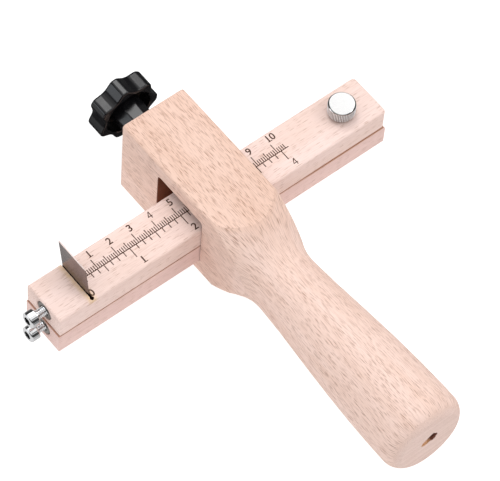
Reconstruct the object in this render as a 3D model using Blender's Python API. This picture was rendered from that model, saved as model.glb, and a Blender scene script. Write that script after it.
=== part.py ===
"""Strap cutter: a beech plough handle whose head carries a two-piece sliding arm with a blade.

Frame: +Z up, +X along the arm from the blade end to the thumb screw end, handle along -Y.
The origin is the middle of the head's bottom face, on the arm's centre plane.
All dimensions are in millimetres and are turned into metres by MM.
"""
import math

import bmesh
import bpy
from mathutils import Matrix, Vector

MM = 0.001
GAP = 0.3                      # clearance between touching pieces
FLUSH = 0.05                   # how far an insert's end lies under the wood's face
SEAT_EXTRA = 0.5               # how much deeper than the insert its seat is bored
OVERCUT = 1.0                  # how far a cutting shape runs past the face that it opens

# Head and handle, one piece of wood
HEAD_WIDTH = 30.6              # along X
HEAD_HEIGHT = 43.1             # along Z
HEAD_BACK = 40.9               # Y of the end face that carries the star knob
HEAD_EDGE_RADIUS = 1.2
HEAD_END_EDGE = 0.8            # rounding of the edges around the star knob's end face
SHOULDER_START = -20.0         # Y where the square head begins to narrow
SHOULDER_UNDERCUT = 1.3        # how much more the underside is cut away half way to the neck
SHOULDER_ROUNDING_RATE = 1.15  # the corners are fully round a little before the neck
NECK = -44.5                   # Y of the thinnest place
NECK_RADIUS = 13.6
SWELL = -124.0                 # Y of the thickest place of the grip
SWELL_RADIUS = 18.5
HANDLE_END = -133.4
END_ROUNDING = 6.7
SPINDLE_HOLE_RADIUS = 2.0
SPINDLE_HOLE_DEPTH = 9.0
SPINDLE_HOLE_POINT = 1.2       # length of the drill's cone at the bottom
SPINDLE_HOLE_RISE = 3.2        # height of the hole above the grip's axis
AXIS_Z = HEAD_HEIGHT / 2       # height of the handle's and the clamp's axis

# Mortise through the head
MORTISE_FRONT = -10.8
MORTISE_BACK = 17.6
MORTISE_FLOOR = 7.95
MORTISE_CEILING = 35.8
MORTISE_CORNER = 2.0           # rounding of the two corners at the ceiling

# Arms
ARM_WIDTH = 21.0               # along Y
ARM_THICKNESS = 10.95
ARM_START = -84.4              # X of the blade end
ARM_END = 80.0                 # X of the upper arm's thumb screw end
LOWER_ARM_EXTRA = 0.5          # the lower arm is this much longer at each end
LOWER_ARM_BOTTOM = MORTISE_FLOOR + GAP
UPPER_ARM_BOTTOM = LOWER_ARM_BOTTOM + ARM_THICKNESS + GAP
ARM_TOP = UPPER_ARM_BOTTOM + ARM_THICKNESS
LOWER_ARM_START = ARM_START - LOWER_ARM_EXTRA
ARM_CORNER = 2.0               # rounding of the upright corners at the thumb screw end
LOWER_ARM_NOSE = 2.2           # rounding of the lower arm's top edge at that end
ARM_EDGE = 1.0                 # rounding of the upper arm's top edges
PARTING_EDGE = 0.35            # broken edges where the arms meet and along the bottom

# Blade and its slot, at the zero of the printed scale
SCALE_ZERO = -68.1
BLADE_THICKNESS = 0.5
BLADE_FRONT = -7.6
BLADE_BACK = 9.4
BLADE_RISE = 14.5              # height above the upper arm
BLADE_LEAN = 2.7               # how far the top stands back
BLADE_GRIND = 2.0              # width of the ground cutting edge
BLADE_EDGE = 0.12              # thickness left at the cutting edge
BLADE_UPRIGHT = 0.2            # height above the arm at which the lean starts
SLOT_FRONT = -9.2
SLOT_NEAR = -0.85              # X of the slot's walls, from the scale's zero
SLOT_FAR = 0.55
SLOT_FLOOR = LOWER_ARM_BOTTOM + 2.0
SLOT_END_RADIUS = 0.85

# Blade screws, M4, one in the end of each arm
BLADE_SCREW_RADIUS = 2.0
BLADE_SCREW_HEAD_RADIUS = 3.6
BLADE_SCREW_HEAD = 4.0
BLADE_SCREW_STAND_OFF = 4.0    # bare shank between the insert and the head
BLADE_INSERT_RADIUS = 4.0
BLADE_INSERT_LENGTH = 10.0
LOWER_SCREW_RISE = 0.5         # the lower screw sits this far above its arm's middle
SOCKET_WIDTH = 3.0             # hexagon socket, across its flats
SOCKET_DEPTH = 2.0
SOCKET_SIDES = 6
LOWER_SCREW_Z = LOWER_ARM_BOTTOM + ARM_THICKNESS / 2 + LOWER_SCREW_RISE
UPPER_SCREW_Z = UPPER_ARM_BOTTOM + ARM_THICKNESS / 2

# Thumb screw, M5
THUMB_X = 64.5
THUMB_RADIUS = 5.85
THUMB_HEAD = 6.4
THUMB_FLUTES = 24
THUMB_FLUTE_DEPTH = 0.22
THUMB_SHANK_RADIUS = 2.5
THUMB_TIP = LOWER_ARM_BOTTOM + 2.4
THUMB_INSERT_RADIUS = 4.0
THUMB_INSERT_LENGTH = 8.0

# Clamp: star knob on an M8 stud, and the plate that it presses on the arms
STUD_RADIUS = 4.0
STUD_BORE_CLEARANCE = 0.5      # the bore in the wood is wider than the thread by this
STUD_POINT = 0.9               # chamfer of the end that presses on the plate
CLAMP_INSERT_RADIUS = 6.0
CLAMP_INSERT_LENGTH = 15.0
PLATE_THICKNESS = 2.8
PLATE_WIDTH = 16.0
PLATE_HEIGHT = 17.0
PLATE_CORNER = 2.5
PLATE_FRONT = ARM_WIDTH / 2 + GAP
KNOB_INNER = 55.4              # Y of the star's face towards the head
KNOB_OUTER = 64.4
KNOB_LOBES = 7
KNOB_TIP_RADIUS = 14.9         # to the two corners of a lobe's flat tip
KNOB_VALLEY_RADIUS = 12.6      # to the two corners of a flat valley
KNOB_TIP_ANGLE = math.radians(5.2)     # half the angle that a tip spans
KNOB_VALLEY_ANGLE = math.radians(5.3)  # half the angle that a valley spans
KNOB_CORNER = 0.85             # length that the rounding of a corner takes from each side
KNOB_POCKET_RADIUS = 10.9
KNOB_WEB = 2.4                 # thickness left behind the cored ring
HUB_RADIUS = 7.6
HUB_END_RADIUS = 6.6
HUB_SIDES = 8
HUB_START = 43.6
KNOB_TURN = math.radians(45.5)
KNOB_STUD_END = KNOB_OUTER - KNOB_WEB - 1.5

ROUND = 40                     # sides of the larger round pieces
MEDIUM_ROUND = 32
SMALL_ROUND = 24
CORNER_POINTS = 11             # points in each quarter of the handle's sections
CORNER_FLAT = 0.05             # flat left between the quarters so that no points meet
SHOULDER_STEPS = 10
GRIP_STEPS = 8
END_STEPS = 5
POINTS_PER_CORNER = 4


# ---------------------------------------------------------------- helpers

def clear_scene():
    for item in list(bpy.data.objects):
        bpy.data.objects.remove(item, do_unlink=True)


def material(name, color, roughness, metallic=0.0):
    mat = bpy.data.materials.new(name)
    mat.use_nodes = True
    shader = mat.node_tree.nodes["Principled BSDF"]
    shader.inputs["Base Color"].default_value = (*color, 1.0)
    shader.inputs["Roughness"].default_value = roughness
    shader.inputs["Metallic"].default_value = metallic
    return mat


def empty(name, place):
    item = bpy.data.objects.new(name, None)
    item.location = Vector(place) * MM
    bpy.context.scene.collection.objects.link(item)
    return item


def finish_mesh(name, bm, mat, place=(0, 0, 0), smooth=30.0):
    """Turn a bmesh in millimetres into an object in metres, with its origin at place."""
    bmesh.ops.recalc_face_normals(bm, faces=bm.faces)
    shift = Matrix.Translation(-Vector(place))
    bmesh.ops.transform(bm, matrix=Matrix.Scale(MM, 4) @ shift, verts=bm.verts)
    mesh = bpy.data.meshes.new(name)
    bm.to_mesh(mesh)
    bm.free()
    mesh.shade_smooth()
    mesh.set_sharp_from_angle(angle=math.radians(smooth))
    item = bpy.data.objects.new(name, mesh)
    item.location = Vector(place) * MM
    if mat is not None:
        mesh.materials.append(mat)
    bpy.context.scene.collection.objects.link(item)
    return item


def cutter(name, bm):
    item = finish_mesh(name, bm, None)
    item.hide_render = True
    item.display_type = "WIRE"
    return item


def combine(item, other, operation):
    step = item.modifiers.new(other.name, "BOOLEAN")
    step.operation = operation
    step.solver = "EXACT"
    step.object = other


def hang_on(item, parent):
    bpy.context.view_layer.update()
    item.parent = parent
    item.matrix_parent_inverse = parent.matrix_world.inverted()


def loft(rings, closed=False):
    """Skin a list of equal rings; the first and last are capped unless closed joins them."""
    bm = bmesh.new()
    rows = [[bm.verts.new(point) for point in ring] for ring in rings]
    pairs = list(zip(rows, rows[1:]))
    if closed:
        pairs.append((rows[-1], rows[0]))
    for row, following in pairs:
        for i in range(len(row)):
            j = (i + 1) % len(row)
            bm.faces.new((row[i], row[j], following[j], following[i]))
    if not closed:
        bm.faces.new(rows[0])
        bm.faces.new(rows[-1])
    return bm


def circle_point(axis, centre, radius, along, angle):
    """A point of a circle about an axis through centre, at a distance along that axis."""
    first = radius * math.cos(angle)
    second = radius * math.sin(angle)
    x, y, z = centre
    if axis == "X":
        return (x + along, y + first, z + second)
    if axis == "Y":
        return (x + first, y + along, z + second)
    return (x + first, y + second, z + along)


def turned(axis, centre, profile, sides=ROUND, hollow=False):
    """A solid of revolution from (radius, distance) points; hollow closes the profile on itself."""
    rings = []
    for radius, along in profile:
        angles = [2 * math.pi * i / sides for i in range(sides)]
        rings.append([circle_point(axis, centre, radius, along, a) for a in angles])
    return loft(rings, closed=hollow)


def tube(axis, centre, outer, inner, start, end, chamfer=0.4, sides=SMALL_ROUND):
    profile = [(inner, start), (outer - chamfer, start), (outer, start + chamfer),
               (outer, end - chamfer), (outer - chamfer, end), (inner, end)]
    return turned(axis, centre, profile, sides, hollow=True)


def box(low, high):
    bm = bmesh.new()
    bmesh.ops.create_cube(bm, size=1.0)
    low = Vector(low)
    size = Vector(high) - low
    for vert in bm.verts:
        vert.co = Vector((low[k] + size[k] * (vert.co[k] + 0.5) for k in range(3)))
    return bm


def edges_where(bm, test):
    """Edges whose middle and direction pass the test."""
    chosen = []
    for edge in bm.edges:
        a, b = edge.verts[0].co, edge.verts[1].co
        if test((a + b) / 2, (b - a).normalized()):
            chosen.append(edge)
    return chosen


def bevel(bm, edges, width, segments):
    bmesh.ops.bevel(bm, geom=edges, offset=width, segments=segments, profile=0.5,
                    affect="EDGES", clamp_overlap=True)


def smooth_step(t):
    return 0.5 - 0.5 * math.cos(math.pi * min(max(t, 0.0), 1.0))


# ---------------------------------------------------------------- head and handle

def rounded_section(half_width, half_height, radius, y, centre_z=AXIS_Z):
    """A ring in the XZ plane: a rectangle with round corners, or a circle when radius fills it."""
    ring = []
    corners = [(1, 1, 0), (-1, 1, 90), (-1, -1, 180), (1, -1, 270)]
    for side_x, side_z, start in corners:
        for k in range(CORNER_POINTS):
            angle = math.radians(start + 90.0 * k / (CORNER_POINTS - 1))
            x = side_x * (half_width - radius) + radius * math.cos(angle)
            z = side_z * (half_height - radius) + radius * math.sin(angle)
            ring.append((x, y, centre_z + z))
    return ring


def round_ring(radius, y):
    return rounded_section(radius, radius, radius - CORNER_FLAT, y)


def grip_radius(y):
    """Radius of the turned grip, swelling gently from the neck to the thickest place."""
    t = (NECK - y) / (NECK - SWELL)
    return NECK_RADIUS + (SWELL_RADIUS - NECK_RADIUS) * math.sin(0.5 * math.pi * t ** 1.12)


def head_rings():
    """The square head, with its end face's edges rounded."""
    rings = []
    for k in range(3):
        angle = 0.25 * math.pi * k
        inset = HEAD_END_EDGE * (1 - math.sin(angle))
        back = HEAD_END_EDGE * (1 - math.cos(angle))
        rings.append(rounded_section(HEAD_WIDTH / 2 - inset, HEAD_HEIGHT / 2 - inset,
                                     HEAD_EDGE_RADIUS, HEAD_BACK - back))
    rings.append(rounded_section(HEAD_WIDTH / 2, HEAD_HEIGHT / 2, HEAD_EDGE_RADIUS, SHOULDER_START))
    return rings


def shoulder_rings():
    """The change from the square head to the round neck, cut away a little more underneath."""
    rings = []
    for k in range(1, SHOULDER_STEPS):
        t = smooth_step(k / SHOULDER_STEPS)
        rounder = min(SHOULDER_ROUNDING_RATE * t, 1.0)
        undercut = SHOULDER_UNDERCUT * math.sin(math.pi * t)
        half_x = HEAD_WIDTH / 2 + (NECK_RADIUS - HEAD_WIDTH / 2) * t
        half_z = HEAD_HEIGHT / 2 + (NECK_RADIUS - HEAD_HEIGHT / 2) * t - undercut / 2
        corner = HEAD_EDGE_RADIUS + (NECK_RADIUS - CORNER_FLAT - HEAD_EDGE_RADIUS) * rounder
        corner = min(corner, half_x - CORNER_FLAT, half_z - CORNER_FLAT)
        y = SHOULDER_START + (NECK - SHOULDER_START) * k / SHOULDER_STEPS
        rings.append(rounded_section(half_x, half_z, corner, y, AXIS_Z + undercut / 2))
    return rings


def grip_rings():
    """The round grip from the neck to the swell, then the rounded edge of the flat end."""
    rings = []
    for k in range(GRIP_STEPS + 1):
        y = NECK + (SWELL - NECK) * k / GRIP_STEPS
        rings.append(round_ring(grip_radius(y), y))
    for k in range(END_STEPS + 1):
        angle = 0.5 * math.pi * k / END_STEPS
        radius = SWELL_RADIUS - END_ROUNDING * (1 - math.cos(angle))
        rings.append(round_ring(radius, HANDLE_END + END_ROUNDING * (1 - math.sin(angle))))
    return rings


def mortise_cutter():
    reach = HEAD_WIDTH / 2 + OVERCUT
    mortise = box((-reach, MORTISE_FRONT, MORTISE_FLOOR), (reach, MORTISE_BACK, MORTISE_CEILING))
    ceiling = edges_where(mortise, lambda middle, way: abs(way.x) > 0.9 and middle.z > AXIS_Z)
    bevel(mortise, ceiling, MORTISE_CORNER, 3)
    return cutter("mortise_cut", mortise)


def stud_bore_cutter():
    """The stud's bore into the mortise, with the threaded insert's wider seat at its mouth."""
    bore = STUD_RADIUS + STUD_BORE_CLEARANCE
    seat = CLAMP_INSERT_RADIUS + GAP
    floor = HEAD_BACK - CLAMP_INSERT_LENGTH - SEAT_EXTRA
    profile = [(bore, MORTISE_BACK - OVERCUT), (bore, floor), (seat, floor), (seat, HEAD_BACK + OVERCUT)]
    return cutter("stud_bore", turned("Y", (0, 0, AXIS_Z), profile))


def spindle_hole_cutter():
    depth = HANDLE_END + SPINDLE_HOLE_DEPTH
    profile = [(SPINDLE_HOLE_RADIUS, HANDLE_END - OVERCUT),
               (SPINDLE_HOLE_RADIUS, depth - SPINDLE_HOLE_POINT), (0.3, depth)]
    centre = (0, 0, AXIS_Z + SPINDLE_HOLE_RISE)
    return cutter("spindle_hole", turned("Y", centre, profile, SMALL_ROUND))


def make_handle_body(wood):
    shape = loft(head_rings() + shoulder_rings() + grip_rings())
    body = finish_mesh("handle_body", shape, wood, smooth=25.0)
    for item in (mortise_cutter(), stud_bore_cutter(), spindle_hole_cutter()):
        combine(body, item, "DIFFERENCE")
    return body


# ---------------------------------------------------------------- arms

def arm_blank(start, end, bottom, top_edge, nose=0.0):
    """A square bar whose far end has rounded upright corners and, if asked, a rounded top edge."""
    half = ARM_WIDTH / 2
    top = bottom + ARM_THICKNESS
    middle_z = (bottom + top) / 2
    bm = box((start, -half, bottom), (end, half, top))
    if nose:
        tip = edges_where(bm, lambda middle, way: (abs(way.y) > 0.9 and middle.x > 0
                                                   and middle.z > middle_z))
        bevel(bm, tip, nose, 3)
    upright = edges_where(bm, lambda middle, way: abs(way.z) > 0.9 and middle.x > 0)
    bevel(bm, upright, ARM_CORNER, 3)
    level = [edge for edge in bm.edges
             if abs(edge.verts[0].co.z - edge.verts[1].co.z) < 0.01]
    upper = [edge for edge in level if edge.verts[0].co.z > top - 0.01
             and not (nose and edge.verts[0].co.x > 0 and edge.verts[1].co.x > 0)]
    lower = [edge for edge in level if edge.verts[0].co.z < bottom + 0.01]
    bevel(bm, upper, top_edge, 2)
    bevel(bm, [edge for edge in lower if edge.is_valid], PARTING_EDGE, 1)
    return bm


def slot_cutters(name, bottom, top):
    """The blade's slot, open at the back edge, and the small drilled hole at its front end."""
    slot = box((SCALE_ZERO + SLOT_NEAR, SLOT_FRONT, bottom),
               (SCALE_ZERO + SLOT_FAR, ARM_WIDTH / 2 + OVERCUT, top))
    centre = (SCALE_ZERO + (SLOT_NEAR + SLOT_FAR) / 2, SLOT_FRONT, 0)
    profile = [(SLOT_END_RADIUS, bottom - FLUSH), (SLOT_END_RADIUS, top + FLUSH)]
    hole = turned("Z", centre, profile, SMALL_ROUND)
    return cutter(name + "_slot", slot), cutter(name + "_slot_end", hole)


def blade_screw_hole(name, start, middle_z):
    """A seat for the threaded insert and a clearance hole that opens into the blade's slot."""
    seat = BLADE_INSERT_RADIUS + GAP
    bore = BLADE_SCREW_RADIUS + GAP
    floor = start + BLADE_INSERT_LENGTH + SEAT_EXTRA
    profile = [(seat, start - OVERCUT), (seat, floor), (bore, floor), (bore, SCALE_ZERO)]
    return cutter(name + "_screw_hole", turned("X", (0, 0, middle_z), profile, SMALL_ROUND))


def thumb_hole(name, profile):
    return cutter(name + "_thumb_hole", turned("Z", (THUMB_X, 0, 0), profile, SMALL_ROUND))


def make_lower_arm(wood):
    top = LOWER_ARM_BOTTOM + ARM_THICKNESS
    blank = arm_blank(LOWER_ARM_START, ARM_END + LOWER_ARM_EXTRA, LOWER_ARM_BOTTOM,
                      PARTING_EDGE, LOWER_ARM_NOSE)
    arm = finish_mesh("lower_arm", blank, wood)
    for item in slot_cutters("lower_arm", SLOT_FLOOR, top + OVERCUT):
        combine(arm, item, "DIFFERENCE")
    combine(arm, blade_screw_hole("lower_arm", LOWER_ARM_START, LOWER_SCREW_Z), "DIFFERENCE")
    seat = THUMB_INSERT_RADIUS + GAP
    shank = THUMB_SHANK_RADIUS + GAP
    floor = top - THUMB_INSERT_LENGTH - SEAT_EXTRA
    profile = [(shank, THUMB_TIP - GAP), (shank, floor), (seat, floor), (seat, top + OVERCUT)]
    combine(arm, thumb_hole("lower_arm", profile), "DIFFERENCE")
    return arm


def make_upper_arm(wood):
    arm = finish_mesh("upper_arm", arm_blank(ARM_START, ARM_END, UPPER_ARM_BOTTOM, ARM_EDGE), wood)
    for item in slot_cutters("upper_arm", UPPER_ARM_BOTTOM - OVERCUT, ARM_TOP + OVERCUT):
        combine(arm, item, "DIFFERENCE")
    combine(arm, blade_screw_hole("upper_arm", ARM_START, UPPER_SCREW_Z), "DIFFERENCE")
    shank = THUMB_SHANK_RADIUS + GAP
    profile = [(shank, UPPER_ARM_BOTTOM - OVERCUT), (shank, ARM_TOP + OVERCUT)]
    combine(arm, thumb_hole("upper_arm", profile), "DIFFERENCE")
    return arm


# ---------------------------------------------------------------- blade and its screws

def blade_section(z, shift):
    """The blade's outline in plan, with the wedge ground on its front edge."""
    half = BLADE_THICKNESS / 2
    edge = BLADE_EDGE / 2
    front = BLADE_FRONT + shift
    back = BLADE_BACK + shift
    x = SCALE_ZERO
    return [(x - edge, front, z), (x + edge, front, z), (x + half, front + BLADE_GRIND, z),
            (x + half, back, z), (x - half, back, z), (x - half, front + BLADE_GRIND, z)]


def make_blade(steel):
    stations = [(SLOT_FLOOR + GAP, 0.0), (ARM_TOP + BLADE_UPRIGHT, 0.0),
                (ARM_TOP + BLADE_RISE, BLADE_LEAN)]
    rings = [blade_section(z, shift) for z, shift in stations]
    place = (SCALE_ZERO, (BLADE_FRONT + BLADE_BACK) / 2, SLOT_FLOOR + GAP)
    return finish_mesh("blade", loft(rings), steel, place, smooth=5.0)


def make_blade_screw(name, middle_z, chrome):
    under_head = ARM_START - BLADE_SCREW_STAND_OFF
    end = under_head - BLADE_SCREW_HEAD
    tip = SCALE_ZERO - BLADE_THICKNESS / 2 - GAP
    rim = BLADE_SCREW_HEAD_RADIUS
    shank = BLADE_SCREW_RADIUS
    profile = [(rim - 0.6, end), (rim - 0.15, end + 0.2), (rim, end + 0.6), (rim, under_head - 0.25),
               (rim - 0.25, under_head), (shank, under_head), (shank, tip - 0.5), (shank - 0.5, tip)]
    place = (end, 0, middle_z)
    screw = turned("X", (0, 0, middle_z), profile, SMALL_ROUND)
    item = finish_mesh(name, screw, chrome, place)
    corner = SOCKET_WIDTH / 2 / math.cos(math.pi / SOCKET_SIDES)
    socket = [(corner, end - OVERCUT), (corner, end + SOCKET_DEPTH)]
    socket = turned("X", (0, 0, middle_z), socket, SOCKET_SIDES)
    combine(item, cutter(name + "_socket", socket), "DIFFERENCE")
    return item


def make_blade_insert(name, start, middle_z, zinc):
    shape = tube("X", (0, 0, middle_z), BLADE_INSERT_RADIUS, BLADE_SCREW_RADIUS + GAP,
                 start + FLUSH, start + BLADE_INSERT_LENGTH)
    return finish_mesh(name, shape, zinc, (start, 0, middle_z))


# ---------------------------------------------------------------- thumb screw

def make_thumb_screw(nickel):
    base = ARM_TOP + GAP
    top = base + THUMB_HEAD
    profile = [(THUMB_SHANK_RADIUS - 0.5, THUMB_TIP), (THUMB_SHANK_RADIUS, THUMB_TIP + 0.5),
               (THUMB_SHANK_RADIUS, base), (THUMB_RADIUS - 0.9, base), (THUMB_RADIUS - 0.25, base + 0.6),
               (THUMB_RADIUS - 0.25, base + 0.9), (THUMB_RADIUS, base + 1.0), (THUMB_RADIUS, top - 0.7),
               (THUMB_RADIUS - 0.35, top - 0.25), (THUMB_RADIUS - 0.9, top)]
    rings = []
    sides = 2 * THUMB_FLUTES
    for radius, z in profile:
        ring = []
        for i in range(sides):
            angle = 2 * math.pi * i / sides
            groove = THUMB_FLUTE_DEPTH if radius == THUMB_RADIUS and i % 2 else 0.0
            ring.append(circle_point("Z", (THUMB_X, 0, 0), radius - groove, z, angle))
        rings.append(ring)
    return finish_mesh("thumb_screw", loft(rings), nickel, (THUMB_X, 0, base), smooth=20.0)


def make_thumb_screw_insert(zinc):
    top = LOWER_ARM_BOTTOM + ARM_THICKNESS - FLUSH
    shape = tube("Z", (THUMB_X, 0, 0), THUMB_INSERT_RADIUS, THUMB_SHANK_RADIUS + GAP,
                 top - THUMB_INSERT_LENGTH, top)
    return finish_mesh("thumb_screw_insert", shape, zinc, (THUMB_X, 0, top))


# ---------------------------------------------------------------- clamp

def make_clamp_insert(zinc):
    bore = STUD_RADIUS + GAP
    shape = tube("Y", (0, 0, AXIS_Z), CLAMP_INSERT_RADIUS, bore,
                 HEAD_BACK - CLAMP_INSERT_LENGTH, HEAD_BACK - FLUSH, 0.5, MEDIUM_ROUND)
    return finish_mesh("clamp_insert", shape, zinc, (0, HEAD_BACK, AXIS_Z))


def make_clamp_plate(steel):
    half_x = PLATE_WIDTH / 2
    half_z = PLATE_HEIGHT / 2
    bm = box((-half_x, PLATE_FRONT, AXIS_Z - half_z),
             (half_x, PLATE_FRONT + PLATE_THICKNESS, AXIS_Z + half_z))
    corners = edges_where(bm, lambda middle, way: abs(way.y) > 0.9)
    bevel(bm, corners, PLATE_CORNER, 3)
    place = (0, PLATE_FRONT + PLATE_THICKNESS, AXIS_Z)
    return finish_mesh("clamp_plate", bm, steel, place)


def make_clamp_stud(steel):
    tip = PLATE_FRONT + PLATE_THICKNESS + GAP
    end = KNOB_STUD_END
    profile = [(STUD_RADIUS - STUD_POINT, tip), (STUD_RADIUS, tip + STUD_POINT),
               (STUD_RADIUS, end - 0.6), (STUD_RADIUS - 0.6, end)]
    shape = turned("Y", (0, 0, AXIS_Z), profile, MEDIUM_ROUND)
    return finish_mesh("clamp_stud", shape, steel, (0, tip, AXIS_Z))


def star_corners(inset):
    """The star's straight-sided outline as (x, z) corners about its axis."""
    tip = KNOB_TIP_RADIUS - inset
    valley = KNOB_VALLEY_RADIUS - inset
    pitch = 2 * math.pi / KNOB_LOBES
    corners = []
    for lobe in range(KNOB_LOBES):
        middle = KNOB_TURN + pitch * lobe
        for radius, angle in ((tip, middle - KNOB_TIP_ANGLE), (tip, middle + KNOB_TIP_ANGLE),
                              (valley, middle + pitch / 2 - KNOB_VALLEY_ANGLE),
                              (valley, middle + pitch / 2 + KNOB_VALLEY_ANGLE)):
            corners.append(Vector((radius * math.cos(angle), radius * math.sin(angle))))
    return corners


def star_ring(y, inset):
    """The star's outline with its corners rounded."""
    corners = star_corners(inset)
    ring = []
    for i, middle in enumerate(corners):
        before = middle + KNOB_CORNER * (corners[i - 1] - middle).normalized()
        after = middle + KNOB_CORNER * (corners[(i + 1) % len(corners)] - middle).normalized()
        for k in range(POINTS_PER_CORNER):
            t = k / (POINTS_PER_CORNER - 1)
            point = (1 - t) ** 2 * before + 2 * t * (1 - t) * middle + t ** 2 * after
            ring.append((point.x, y, AXIS_Z + point.y))
    return ring


def make_star_knob(plastic):
    """A star moulded hollow towards the head, with a faceted hub around the stud."""
    rings = [star_ring(KNOB_INNER, 0.9), star_ring(KNOB_INNER + 0.25, 0.3), star_ring(KNOB_INNER + 0.9, 0.0),
             star_ring(KNOB_OUTER - 1.1, 0.0), star_ring(KNOB_OUTER - 0.35, 0.3), star_ring(KNOB_OUTER, 1.1)]
    knob = finish_mesh("star_knob", loft(rings), plastic, (0, KNOB_INNER, AXIS_Z), smooth=35.0)

    axis = (0, 0, AXIS_Z)
    draft = 0.4
    floor = KNOB_OUTER - KNOB_WEB - 0.5
    profile = [(KNOB_POCKET_RADIUS, KNOB_INNER - OVERCUT), (KNOB_POCKET_RADIUS - draft, floor)]
    combine(knob, cutter("knob_pocket", turned("Y", axis, profile)), "DIFFERENCE")

    chamfer = 0.6
    profile = [(HUB_END_RADIUS - chamfer, HUB_START), (HUB_END_RADIUS, HUB_START + chamfer),
               (HUB_RADIUS, floor), (HUB_RADIUS, floor + OVERCUT)]
    combine(knob, cutter("knob_hub", turned("Y", axis, profile, HUB_SIDES)), "UNION")

    bore = STUD_RADIUS + GAP
    profile = [(bore, HUB_START - OVERCUT), (bore, KNOB_STUD_END + GAP)]
    combine(knob, cutter("knob_bore", turned("Y", axis, profile, MEDIUM_ROUND)), "DIFFERENCE")
    return knob


# ---------------------------------------------------------------- assembly

def main():
    clear_scene()
    beech = material("beech", (0.80, 0.60, 0.49), 0.55)
    pale_beech = material("pale_beech", (0.86, 0.67, 0.58), 0.55)
    blade_steel = material("blade_steel", (0.42, 0.41, 0.42), 0.25, 1.0)
    chrome = material("chrome", (0.85, 0.85, 0.86), 0.12, 1.0)
    nickel = material("nickel", (0.78, 0.78, 0.76), 0.2, 1.0)
    zinc = material("zinc", (0.50, 0.50, 0.50), 0.4, 1.0)
    bright_steel = material("bright_steel", (0.60, 0.60, 0.60), 0.3, 1.0)
    plastic = material("black_plastic", (0.03, 0.03, 0.03), 0.4)

    make_handle_body(beech)
    make_clamp_insert(zinc)

    clamp_axis = empty("clamp_axis", (0, HEAD_BACK, AXIS_Z))
    for item in (make_clamp_plate(bright_steel), make_clamp_stud(bright_steel), make_star_knob(plastic)):
        hang_on(item, clamp_axis)

    beam = empty("beam_slide", (SCALE_ZERO, 0, LOWER_ARM_BOTTOM))
    for item in (make_lower_arm(pale_beech), make_blade(blade_steel),
                 make_blade_insert("lower_blade_insert", LOWER_ARM_START, LOWER_SCREW_Z, zinc),
                 make_blade_screw("lower_blade_screw", LOWER_SCREW_Z, chrome),
                 make_thumb_screw_insert(zinc)):
        hang_on(item, beam)

    lift = empty("upper_arm_lift", (SCALE_ZERO, 0, UPPER_ARM_BOTTOM))
    hang_on(lift, beam)
    for item in (make_upper_arm(pale_beech), make_thumb_screw(nickel),
                 make_blade_insert("upper_blade_insert", ARM_START, UPPER_SCREW_Z, zinc),
                 make_blade_screw("upper_blade_screw", UPPER_SCREW_Z, chrome)):
        hang_on(item, lift)


main()
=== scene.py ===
"""Looks of the strap cutter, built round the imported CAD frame.

All dimensions below are in millimetres in the CAD's frame and are turned into metres by MM.
"""
import math

import bmesh
import bpy
from mathutils import Matrix, Vector


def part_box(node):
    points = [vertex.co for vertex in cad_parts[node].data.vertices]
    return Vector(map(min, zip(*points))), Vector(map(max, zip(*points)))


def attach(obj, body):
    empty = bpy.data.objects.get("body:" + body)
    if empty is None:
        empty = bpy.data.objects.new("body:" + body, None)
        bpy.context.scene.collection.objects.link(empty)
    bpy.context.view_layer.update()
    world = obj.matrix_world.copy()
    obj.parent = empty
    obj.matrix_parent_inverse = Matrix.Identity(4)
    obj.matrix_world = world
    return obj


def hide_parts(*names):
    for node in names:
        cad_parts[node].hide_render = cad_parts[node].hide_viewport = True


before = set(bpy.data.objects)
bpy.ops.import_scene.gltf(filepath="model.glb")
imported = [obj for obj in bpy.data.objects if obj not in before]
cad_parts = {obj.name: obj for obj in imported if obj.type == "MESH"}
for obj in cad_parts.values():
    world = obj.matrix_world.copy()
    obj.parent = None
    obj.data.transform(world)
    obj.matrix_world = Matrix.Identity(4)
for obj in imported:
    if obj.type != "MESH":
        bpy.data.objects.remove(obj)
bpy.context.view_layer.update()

MM = 0.001


def corner(node, which, axis):
    """One side of a CAD node's box in millimetres: which 0 is its low side and 1 its high side."""
    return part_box(node)[which]["XYZ".index(axis)] / MM


# ---------------------------------------- measurements

AXIS_Z = 21.55                          # height of the grip's and the clamp's axis
HEAD_WIDTH = 30.6
HEAD_HEIGHT = 43.1
HEAD_BACK = corner("handle_body", 1, "Y")
END_SETBACK = 0.4                       # the flat end stops this much short of the CAD's
HANDLE_END = corner("handle_body", 0, "Y") + END_SETBACK
HEAD_EDGE = 1.2
HEAD_END_EDGE = 0.8
SHOULDER_PROFILE = ((-12.0, 27.4), (-17.0, 26.35), (-21.0, 24.55), (-25.0, 22.4), (-29.0, 20.2),
                    (-33.0, 17.8), (-37.0, 15.7), (-41.0, 14.4), (-45.0, 14.0), (-50.0, 14.2),
                    (-58.0, 14.65))     # (Y, radius) of the turned shoulder and neck
SHOULDER_START, GRIP_START = SHOULDER_PROFILE[0][0], SHOULDER_PROFILE[-1][0]
NECK = -44.5
NECK_RADIUS = 13.6
SWELL = -124.0
SWELL_RADIUS = 18.3
END_ROUNDING = 7.4
END_ARC = math.radians(64.0)            # the rounding meets the flat end in a soft crease
MORTISE = ((-10.8, 7.95), (17.6, 35.8))  # low and high corner in Y and Z
MORTISE_CORNER = 2.0
MORTISE_RIM = 0.45
SPINDLE_HOLE = (2.0, 9.0, 0.7, 2.2)     # radius, depth, place beside and above the axis
TEAR = (-2.5, -1.0)                     # middle of the torn place from the hole's middle, in X and Z
TEAR_SIZE = (2.6, 1.9)                  # its half width and half height

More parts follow.
